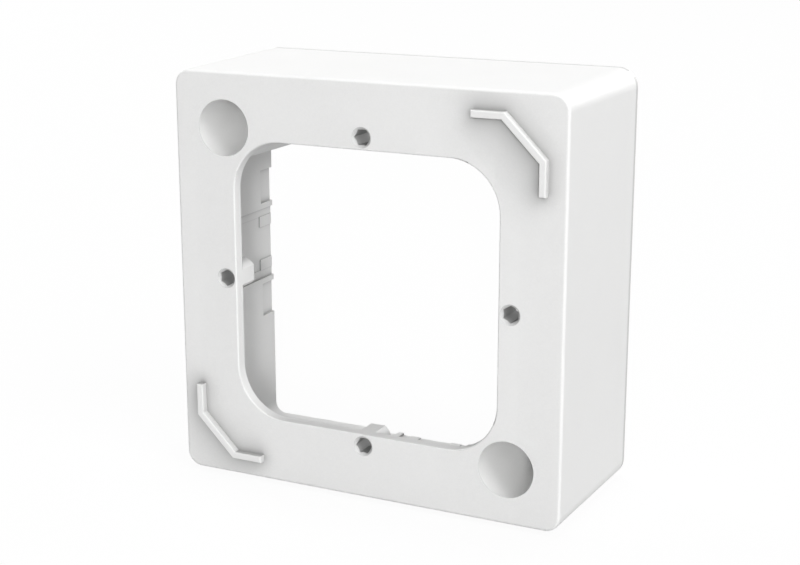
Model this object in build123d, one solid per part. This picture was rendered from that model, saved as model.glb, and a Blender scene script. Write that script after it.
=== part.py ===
from build123d import *
from math import radians, sqrt, tan
import os

# Surface mount base: an open-backed square frame that stands off the wall and
# carries a socket or data outlet on its front. It is one moulding in white ABS.
# The wall plane is y = 0, the front faces -Y, +Z is up, and the origin is the
# middle of the wall plane, between the two wall screws. All sizes are in mm.

# Outer walls and front plate
front_side = 81.0        # width and height of the front face
depth = 34.5             # wall plane to front face
draft_angle = 1.2        # degrees, the walls spread towards the wall
corner_radius = 3.1      # upright edges, at the front
front_edge_radius = 0.6  # soft edge round the front face
wall = 1.3               # side walls
front_plate = 2.2        # front plate

# Screws that hold the outlet
screw_circle = 60.0        # four screws, one in the middle of each side
screw_across_flats = 2.9   # hexagonal cored hole for a self-tapping screw
screw_mouth = 4.0          # round lead-in, across
boss_radius = 2.8
boss_length = 6.5          # front face to the boss's end

# Opening for the outlet
screw_margin = 2.35      # opening's edge to the screw's centre
opening_radius = 10.0
opening_edge_radius = 0.3

# Towers for the wall screws, in two opposite corners
well_radius = 5.5        # room for the screw head and the driver
tower_wall = 1.2
tower_gap = 0.34         # tower to the opening's rounded corner
tower_floor = 2.4        # what the screw head bears on
fixing_radius = 2.25     # clearance hole for a 4 mm screw

# Locating ribs on the front, in the other two corners
rib_inset = 3.65         # outer side of the rib, from the edge of the front face
rib_thickness = 1.4
rib_height = 1.5
rib_reach = 14.55        # each arm, from the corner that the chamfer cuts off
rib_chamfer = 8.05
rib_edge_radius = 0.25

# Thinned cable entries inside each wall, broken out by the installer
entry_skin = 0.7         # what is left of the wall
entry_wide = 32.0        # outer pair of notches, end to end
entry_narrow = 15.3      # middle panel
entry_post = 1.2         # full wall between the panel and each notch
panel_height = 16.5      # panel, from the wall plane
panel_middle = 11.8      # thinnest stretch of the panel
panel_step = 0.1         # the panel is this much thicker beside that stretch
notch_height = 4.8       # notches and pads, from the wall plane
entry_shift = 0.5        # entries lie off centre, towards the ribbed corner
pad_width = 2.3          # low pads at the rim, at both ends of the thinnest stretch
pad_rise = 0.2

# Worked out from the sizes above
spread = depth * tan(radians(draft_angle))
back_side = front_side + 2 * spread
back_radius = corner_radius + spread
opening_side = screw_circle - 2 * screw_margin
tower_radius = well_radius + tower_wall
opening_corner = sqrt(2) * (opening_side / 2 - opening_radius) + opening_radius
fixing_circle = 2 * (opening_corner + tower_gap + tower_radius)
lead_in = (screw_mouth - screw_across_flats) / 2

wall_plane = Plane.XZ
front_plane = wall_plane.offset(depth)


def prism(profile, start, end):
    """A straight prism of the profile, between two heights above the wall plane."""
    return extrude(wall_plane.offset(start) * profile, amount=end - start)


def repeated(profile, places):
    """One sketch that holds the profile at each of the places."""
    return Sketch() + [place * profile for place in places]


def drafted_block(inset, height):
    """The outer form taken in by inset all round, from the wall plane to height."""
    side = back_side - 2 * inset
    profile = RectangleRounded(side, side, back_radius - inset)
    return extrude(wall_plane * profile, amount=height, taper=draft_angle)


# Shell: four drafted walls and the front plate, open at the back
def shell():
    block = drafted_block(0, depth)
    front_face = block.faces().sort_by(Axis.Y)[0]
    block = fillet(front_face.edges(), front_edge_radius)
    return block - drafted_block(wall, depth - front_plate)


# Bosses behind the four outlet screws, and the towers of the wall screws
screw_places = PolarLocations(screw_circle / 2, 4)
fixing_places = PolarLocations(fixing_circle / 2, 2, start_angle=135)


def bosses():
    profile = repeated(Circle(boss_radius), screw_places)
    return prism(profile, depth - boss_length, depth - front_plate / 2)


def towers():
    return prism(repeated(Circle(tower_radius), fixing_places), 0, depth - front_plate / 2)


# Opening: cut through the plate and flush through the bosses, with a soft edge
def cut_opening(body):
    profile = RectangleRounded(opening_side, opening_side, opening_radius)
    body -= prism(profile, depth - boss_length, depth)
    front_face = body.faces().sort_by(Axis.Y)[0]
    return fillet(front_face.inner_wires()[0].edges(), opening_edge_radius)


# Holes: hexagonal screw holes with a round lead-in, the wells and the fixing holes
def screw_holes():
    hexagon = RegularPolygon(screw_across_flats / 2, 6, major_radius=False, rotation=30)
    bore = prism(repeated(hexagon, screw_places), depth - boss_length, depth)
    top_at_front = (Align.CENTER, Align.CENTER, Align.MAX)
    cone = Cone(screw_across_flats / 2, screw_mouth / 2, lead_in, align=top_at_front)
    return bore + [front_plane.location * place * cone for place in screw_places]


def wells():
    well = prism(repeated(Circle(well_radius), fixing_places), tower_floor, depth)
    return well + prism(repeated(Circle(fixing_radius), fixing_places), 0, tower_floor)


# Cable entries: a window on each wall picks out what is thinned from the inside
def on_each_wall(low, high, height):
    """Blocks over the stretch low to high of each wall, measured from the middle of
    its entry towards the ribbed corner, and from the wall plane up to height."""
    half = back_side / 2
    strip = Pos(half, (low + high) / 2 + entry_shift) * Rectangle(4 * wall, high - low)
    right = prism(strip, 0, height)
    top = mirror(right, Plane((0, 0, 0), z_dir=(1, 0, -1)))
    pair = [right, top]
    return Part() + pair + [Rot(Y=180) * block for block in pair]


def thinned(blocks, skin):
    """The part of the blocks that lies inside a skin of the given thickness."""
    return blocks & drafted_block(skin, depth)


def on_both_sides(start, end, height):
    """Blocks on each wall at both sides of the entry's middle, from start to end."""
    return on_each_wall(start, end, height) + on_each_wall(-end, -start, height)


def cable_entries():
    """What is cut away: the panel, thinnest in its middle and less its two pads, and a
    notch at both sides of it."""
    panel = thinned(on_each_wall(-entry_narrow / 2, entry_narrow / 2, panel_height), entry_skin + panel_step)
    middle = thinned(on_each_wall(-panel_middle / 2, panel_middle / 2, panel_height), entry_skin)
    pads = on_both_sides(panel_middle / 2 - pad_width, panel_middle / 2, notch_height)
    pads -= drafted_block(entry_skin + pad_rise, depth)
    notches = on_both_sides(entry_narrow / 2 + entry_post, entry_wide / 2, notch_height)
    return (panel + middle - pads) + thinned(notches, entry_skin)


# Ribs: two corners of one chamfered square ring, standing on the front face
def ribs():
    side = front_side - 2 * rib_inset
    outer = Rectangle(side, side)
    outer = chamfer(outer.vertices(), rib_chamfer)
    ring = outer - offset(outer, -rib_thickness, kind=Kind.INTERSECTION)
    corner = side / 2 - rib_reach / 2
    windows = [Pos(sign * corner, sign * corner) * Rectangle(rib_reach, rib_reach) for sign in (-1, 1)]
    pair = extrude(front_plane * (ring & (Sketch() + windows)), amount=rib_height)
    tops = pair.faces().filter_by(Axis.Y).group_by(Axis.Y)[0]
    return fillet(tops.edges(), rib_edge_radius)


base_frame = cut_opening(shell() + bosses() + towers())
base_frame -= screw_holes()
base_frame -= wells()
base_frame -= cable_entries()
base_frame += ribs()
base_frame.label = "base_frame"

os.makedirs("parts", exist_ok=True)
export_step(base_frame, "parts/base_frame.step")
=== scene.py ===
from math import cos, radians, sin, sqrt

import bpy
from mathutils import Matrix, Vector


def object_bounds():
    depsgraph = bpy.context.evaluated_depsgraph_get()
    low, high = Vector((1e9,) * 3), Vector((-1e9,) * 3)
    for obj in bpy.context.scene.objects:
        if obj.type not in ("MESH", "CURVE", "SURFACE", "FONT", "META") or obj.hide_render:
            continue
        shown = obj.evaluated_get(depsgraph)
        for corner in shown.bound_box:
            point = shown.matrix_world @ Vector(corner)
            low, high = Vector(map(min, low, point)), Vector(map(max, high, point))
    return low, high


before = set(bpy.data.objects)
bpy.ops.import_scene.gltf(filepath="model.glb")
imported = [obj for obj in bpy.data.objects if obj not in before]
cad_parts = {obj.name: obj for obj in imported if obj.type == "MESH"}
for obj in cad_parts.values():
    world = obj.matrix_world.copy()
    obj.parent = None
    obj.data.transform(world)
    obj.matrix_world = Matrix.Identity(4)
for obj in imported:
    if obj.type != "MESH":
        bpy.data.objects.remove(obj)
cad_low, cad_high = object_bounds()


# Base frame. One injection moulding in white ABS, open at the back, which two screws in
# its wells hold to the wall. The spark-eroded mould leaves a fine matt grain on it. Painted
# shade darkens it in corners, by the ribs and in the screw holes and greys a band at the
# wall, and painted light whitens it a little down the wells.
MM = 0.001
front_face = 34.5 * MM    # wall plane to front face
screw_circle = 60 * MM
screw_mouth = 4.0 * MM
well_offset = 29.7 * MM   # well to both middle lines
well_radius = 5.5 * MM
painted_rim_width = 1.0 * MM      # band at the wall, painted darker as edge shade
rim_side = 81.2 * MM      # less than the outside there, more than the inside
edge_margin = 0.15 * MM   # takes a place's own edge in
face_margin = 0.05 * MM   # off the front face, for what lies on it or before it
corner_reach = 25 * MM    # how far the wide shade looks for other parts of the moulding
front_reach = 9 * MM      # on the front face
hole_reach = 3.5 * MM     # in the screw holes
crease_reach = 1.2 * MM   # of the narrow shade


def noise(tree, place, size, detail):
    """A noise texture whose lumps are about size across, in metres."""
    node = tree.nodes.new("ShaderNodeTexNoise")
    node.inputs["Scale"].default_value = 1 / size
    node.inputs["Detail"].default_value = detail
    tree.links.new(place, node.inputs["Vector"])
    return node.outputs["Fac"]


def between(tree, value, low, high):
    """value, which runs from 0 to 1, spread from low to high."""
    node = tree.nodes.new("ShaderNodeMapRange")
    node.inputs["To Min"].default_value = low
    node.inputs["To Max"].default_value = high
    tree.links.new(value, node.inputs["Value"])
    return node.outputs["Result"]


def maths(tree, operation, first, second=0.0):
    """The sum, product or other result of two values, each a number or a socket."""
    node = tree.nodes.new("ShaderNodeMath")
    node.operation = operation
    for value, socket in zip((first, second), node.inputs):
        if isinstance(value, bpy.types.NodeSocket):
            tree.links.new(value, socket)
        else:
            socket.default_value = value
    return node.outputs["Value"]


def either(tree, chosen, yes, no):
    """yes where chosen is 1 and no where it is 0, each a number or a socket."""
    extra = maths(tree, "MULTIPLY", chosen, maths(tree, "SUBTRACT", yes, no))
    return maths(tree, "ADD", extra, no)


def by_place(tree, places, elsewhere):
    """The value of the first place that is 1, or else the value elsewhere."""
    for chosen, value in reversed(places):
        elsewhere = either(tree, chosen, value, elsewhere)
    return elsewhere


def within(tree, first, second, centre, radius):
    """1 where the two distances lie within radius of the centre, else 0."""
    first = maths(tree, "POWER", maths(tree, "SUBTRACT", first, centre[0]), 2.0)
    second = maths(tree, "POWER", maths(tree, "SUBTRACT", second, centre[1]), 2.0)
    return maths(tree, "LESS_THAN", maths(tree, "ADD", first, second), radius * radius)


def off_axis(tree, x, z):
    """Distances from the middle lines, the larger one first."""
    across = maths(tree, "ABSOLUTE", x)
    up = maths(tree, "ABSOLUTE", z)
    return maths(tree, "MAXIMUM", across, up), maths(tree, "MINIMUM", across, up)


def parts(tree, vector):
    """The x, y and z of a vector."""
    node = tree.nodes.new("ShaderNodeSeparateXYZ")
    tree.links.new(vector, node.inputs["Vector"])
    return [node.outputs[name] for name in "XYZ"]


def leaning(tree, normal, lean):
    """The normal, turned to the right by lean, a value that changes over the surface."""
    rightward = tree.nodes.new("ShaderNodeVectorMath")
    rightward.operation = "SCALE"
    rightward.inputs[0].default_value = (1, 0, 0)
    tree.links.new(lean, rightward.inputs["Scale"])
    turned = tree.nodes.new("ShaderNodeVectorMath")
    tree.links.new(normal, turned.inputs[0])
    tree.links.new(rightward.outputs["Vector"], turned.inputs[1])
    unit = tree.nodes.new("ShaderNodeVectorMath")
    unit.operation = "NORMALIZE"
    tree.links.new(turned.outputs["Vector"], unit.inputs[0])
    return unit.outputs["Vector"]


def closed_in(tree, reach, normal):
    """How far the moulding closes itself in, within reach: 0 on an open face."""
    openness = tree.nodes.new("ShaderNodeAmbientOcclusion")
    openness.samples = 32
    openness.only_local = True
    tree.links.new(maths(tree, "ADD", reach, 0.0), openness.inputs["Distance"])
    tree.links.new(normal, openness.inputs["Normal"])
    return maths(tree, "SUBTRACT", 1.0, openness.outputs["AO"])


def painted_corner_shade(tree, x, y, z, normal):
    """Painted shade: how much of the colour is left, 1 on open faces and less in corners and by
    the ribs. Down the wells it is a little over 1, painted light that whitens them. Less is
    left on a rib's left than on its right, and on a rib's own sides that face up than on others."""
    on_front = maths(tree, "LESS_THAN", y, face_margin - front_face)
    before_front = maths(tree, "LESS_THAN", y, -face_margin - front_face)
    not_up = maths(tree, "LESS_THAN", parts(tree, normal)[2], 0.8)
    on_rib_sides = maths(tree, "MULTIPLY", before_front, not_up)
    hole_edge = screw_mouth / 2 + edge_margin
    in_holes = within(tree, *off_axis(tree, x, z), (screw_circle / 2, 0), hole_edge)
    slant = maths(tree, "ABSOLUTE", maths(tree, "SUBTRACT", z, x))
    well_edge = sqrt(2) * (well_radius + edge_margin)
    in_wells = within(tree, slant, maths(tree, "ADD", x, z), (2 * well_offset, 0), well_edge)

    reach = by_place(tree, [(on_front, front_reach), (in_holes, hole_reach)], corner_reach)
    falloff = by_place(tree, [(on_front, 0.5), (in_holes, 0.6)], 1.0)
    front_and_ribs = [(on_rib_sides, 0.32), (on_front, 0.75)]
    # Down the wells the strength is below 0: painted light that whitens them.
    strength = by_place(tree, front_and_ribs + [(in_holes, 0.75), (in_wells, -0.12)], 0.55)
    # Turned to the right on the front, the normal lays the painted shade mostly on the ribs' left, a
    # painted shadow as from a lamp to the right.
    normal = leaning(tree, normal, maths(tree, "MULTIPLY", on_front, 0.15))
    wide = maths(tree, "POWER", closed_in(tree, reach, normal), falloff)
    wide = maths(tree, "MINIMUM", maths(tree, "MULTIPLY", wide, strength), 0.8)
    narrow = closed_in(tree, crease_reach, normal)
    narrow = maths(tree, "MULTIPLY", narrow, by_place(tree, [(on_front, 0.2)], 0.5))
    wide_left = maths(tree, "SUBTRACT", 1.0, wide)
    return maths(tree, "MULTIPLY", wide_left, maths(tree, "SUBTRACT", 1.0, narrow))


def painted_rim_shade(tree, x, y, z):
    """Painted shade: how much of the colour is left on the outside close to the wall, a darker band
    that outlines the back edges.
    """
    at_wall = maths(tree, "GREATER_THAN", y, -painted_rim_width)
    outside = maths(tree, "GREATER_THAN", off_axis(tree, x, z)[0], rim_side / 2)
    return either(tree, maths(tree, "MULTIPLY", at_wall, outside), 0.74, 1.0)


def white_abs():
    """Matt white ABS, as it comes out of the mould, with painted shade and light laid on its colour.
    """
    material = bpy.data.materials.new("white_abs")
    material.use_nodes = True
    tree = material.node_tree
    shader = tree.nodes["Principled BSDF"]
    shader.inputs["IOR"].default_value = 1.53
    coordinates = tree.nodes.new("ShaderNodeTexCoord")
    place = coordinates.outputs["Object"]
    x, y, z = parts(tree, place)
    grain = noise(tree, place, 0.35 * MM, 2)
    cloud = noise(tree, place, 14 * MM, 3)

    cloudy = between(tree, cloud, 0.985, 1.015)
    tone = maths(tree, "MULTIPLY", cloudy, between(tree, grain, 0.975, 1.025))
    # Painted shade in corners, by the ribs and in the screw holes, and painted light down the wells.
    painted_shade = painted_corner_shade(tree, x, y, z, coordinates.outputs["Normal"])
    tone = maths(tree, "MULTIPLY", tone, painted_shade)
    # Painted shade in a darker band at the wall, outlining the back edges.
    tone = maths(tree, "MULTIPLY", tone, painted_rim_shade(tree, x, y, z))
    colour = tree.nodes.new("ShaderNodeVectorMath")
    colour.operation = "SCALE"
    colour.inputs[0].default_value = (0.86, 0.86, 0.855)
    tree.links.new(tone, colour.inputs["Scale"])
    tree.links.new(colour.outputs["Vector"], shader.inputs["Base Color"])

    tree.links.new(between(tree, grain, 0.5, 0.62), shader.inputs["Roughness"])
    bump = tree.nodes.new("ShaderNodeBump")
    bump.inputs["Strength"].default_value = 0.25
    bump.inputs["Distance"].default_value = 0.02 * MM
    tree.links.new(grain, bump.inputs["Height"])
    tree.links.new(bump.outputs["Normal"], shader.inputs["Normal"])
    return material


base_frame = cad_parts["base_frame"]
base_frame.data.materials.clear()
base_frame.data.materials.append(white_abs())


# Floor. A wide pale sheet that the base stands on, on its lower wall. The camera and
# mirrored light see it nearly white, with the base's soft shadow, and it throws light on
# the base as a grey sheet.
def seen_directly(tree):
    """1 for the camera and for light that a surface mirrors or lets through, else 0."""
    ray = tree.nodes.new("ShaderNodeLightPath")
    seen = maths(tree, "MAXIMUM", ray.outputs["Is Camera Ray"], ray.outputs["Is Glossy Ray"])
    return maths(tree, "MAXIMUM", seen, ray.outputs["Is Transmission Ray"])


def pale_sheet():
    """A matt sheet that is grey to the lamps and nearly white to the camera."""
    material = bpy.data.materials.new("pale_sheet")
    material.use_nodes = True
    tree = material.node_tree
    sheet = tree.nodes["Principled BSDF"]
    sheet.inputs["Base Color"].default_value = (0.4, 0.4, 0.4, 1)
    sheet.inputs["Roughness"].default_value = 0.9
    glow = tree.nodes.new("ShaderNodeEmission")
    glow.inputs["Strength"].default_value = 1.07
    mix = tree.nodes.new("ShaderNodeMixShader")
    tree.links.new(maths(tree, "MULTIPLY", seen_directly(tree), 0.88), mix.inputs["Fac"])
    tree.links.new(sheet.outputs["BSDF"], mix.inputs[1])
    tree.links.new(glow.outputs["Emission"], mix.inputs[2])
    tree.links.new(mix.outputs["Shader"], tree.nodes["Material Output"].inputs["Surface"])
    return material


floor_side = 12.0
floor_mesh = bpy.data.meshes.new("floor")
corner_signs = [(-1, -1), (1, -1), (1, 1), (-1, 1)]
floor_corners = [(x * floor_side / 2, y * floor_side / 2, cad_low.z) for x, y in corner_signs]
floor_mesh.from_pydata(floor_corners, [], [(0, 1, 2, 3)])
floor = bpy.data.objects.new("floor", floor_mesh)
bpy.context.scene.collection.objects.link(floor)
floor.data.materials.append(pale_sheet())


# Surround. White to the camera and to mirrored light, and nearly dark to the base, so
# that the lamps alone shape its tones.
world = bpy.data.worlds.new("surround")
bpy.context.scene.world = world
world.use_nodes = True
tree = world.node_tree
faint = tree.nodes["Background"]
faint.inputs["Color"].default_value = (1, 1, 1, 1)
faint.inputs["Strength"].default_value = 0.02
white = tree.nodes.new("ShaderNodeBackground")
white.inputs["Color"].default_value = (1, 1, 1, 1)
white.inputs["Strength"].default_value = 1.0
mix = tree.nodes.new("ShaderNodeMixShader")
tree.links.new(seen_directly(tree), mix.inputs["Fac"])
tree.links.new(faint.outputs["Background"], mix.inputs[1])
tree.links.new(white.outputs["Background"], mix.inputs[2])
tree.links.new(mix.outputs["Shader"], tree.nodes["World Output"].inputs["Surface"])


# Lamps. A small one beside the camera lights what the camera sees, also down the wells.
# Larger ones to its right and above soften that, the overhead one keeps the top the
# palest side, and two behind light the back and the left side.
def soft_lamp(name, to_the_right, up, width, power):
    """A round lamp 2 m away, at degrees to the right of the front and above the level."""
    distance = 2.0
    level = distance * cos(radians(up))
    height = distance * sin(radians(up))
    place = Vector((sin(radians(to_the_right)) * level, -cos(radians(to_the_right)) * level, height))
    light = bpy.data.lights.new(name, "AREA")
    light.shape = "DISK"
    light.size = width
    light.energy = power
    lamp = bpy.data.objects.new(name, light)
    lamp.location = place
    lamp.rotation_euler = (-place).to_track_quat("-Z", "Y").to_euler()
    bpy.context.scene.collection.objects.link(lamp)


soft_lamp("front_lamp", 24.8, 13.8, 0.24, 19.6)
soft_lamp("right_front_lamp", 42, 13, 1.6, 8.0)
soft_lamp("key_lamp", 67, 45, 1.2, 17.0)
soft_lamp("overhead_lamp", 180, 85, 0.5, 15.5)
soft_lamp("rear_lamp", 160, 15, 0.8, 7.2)
soft_lamp("left_rear_lamp", -115, 25, 1.2, 14.0)


# Camera. To the right of the base and above it, with the level horizon that the
# photograph's upright edges give. The focal length is in pixels of an 800 pixel wide
# picture.
photo_width = 800
focal_pixels = 1596.4
camera_data = bpy.data.cameras.new("camera")
camera_data.sensor_width = 36.0
camera_data.lens = focal_pixels / photo_width * camera_data.sensor_width
camera_data.clip_start = 0.01
camera = bpy.data.objects.new("camera", camera_data)
camera.location = (0.13462, -0.29082, 0.07865)
camera.rotation_euler = (radians(90 - 14.72), 0, radians(26.30))
bpy.context.scene.collection.objects.link(camera)
bpy.context.scene.camera = camera
bpy.context.scene.view_settings.view_transform = "Standard"
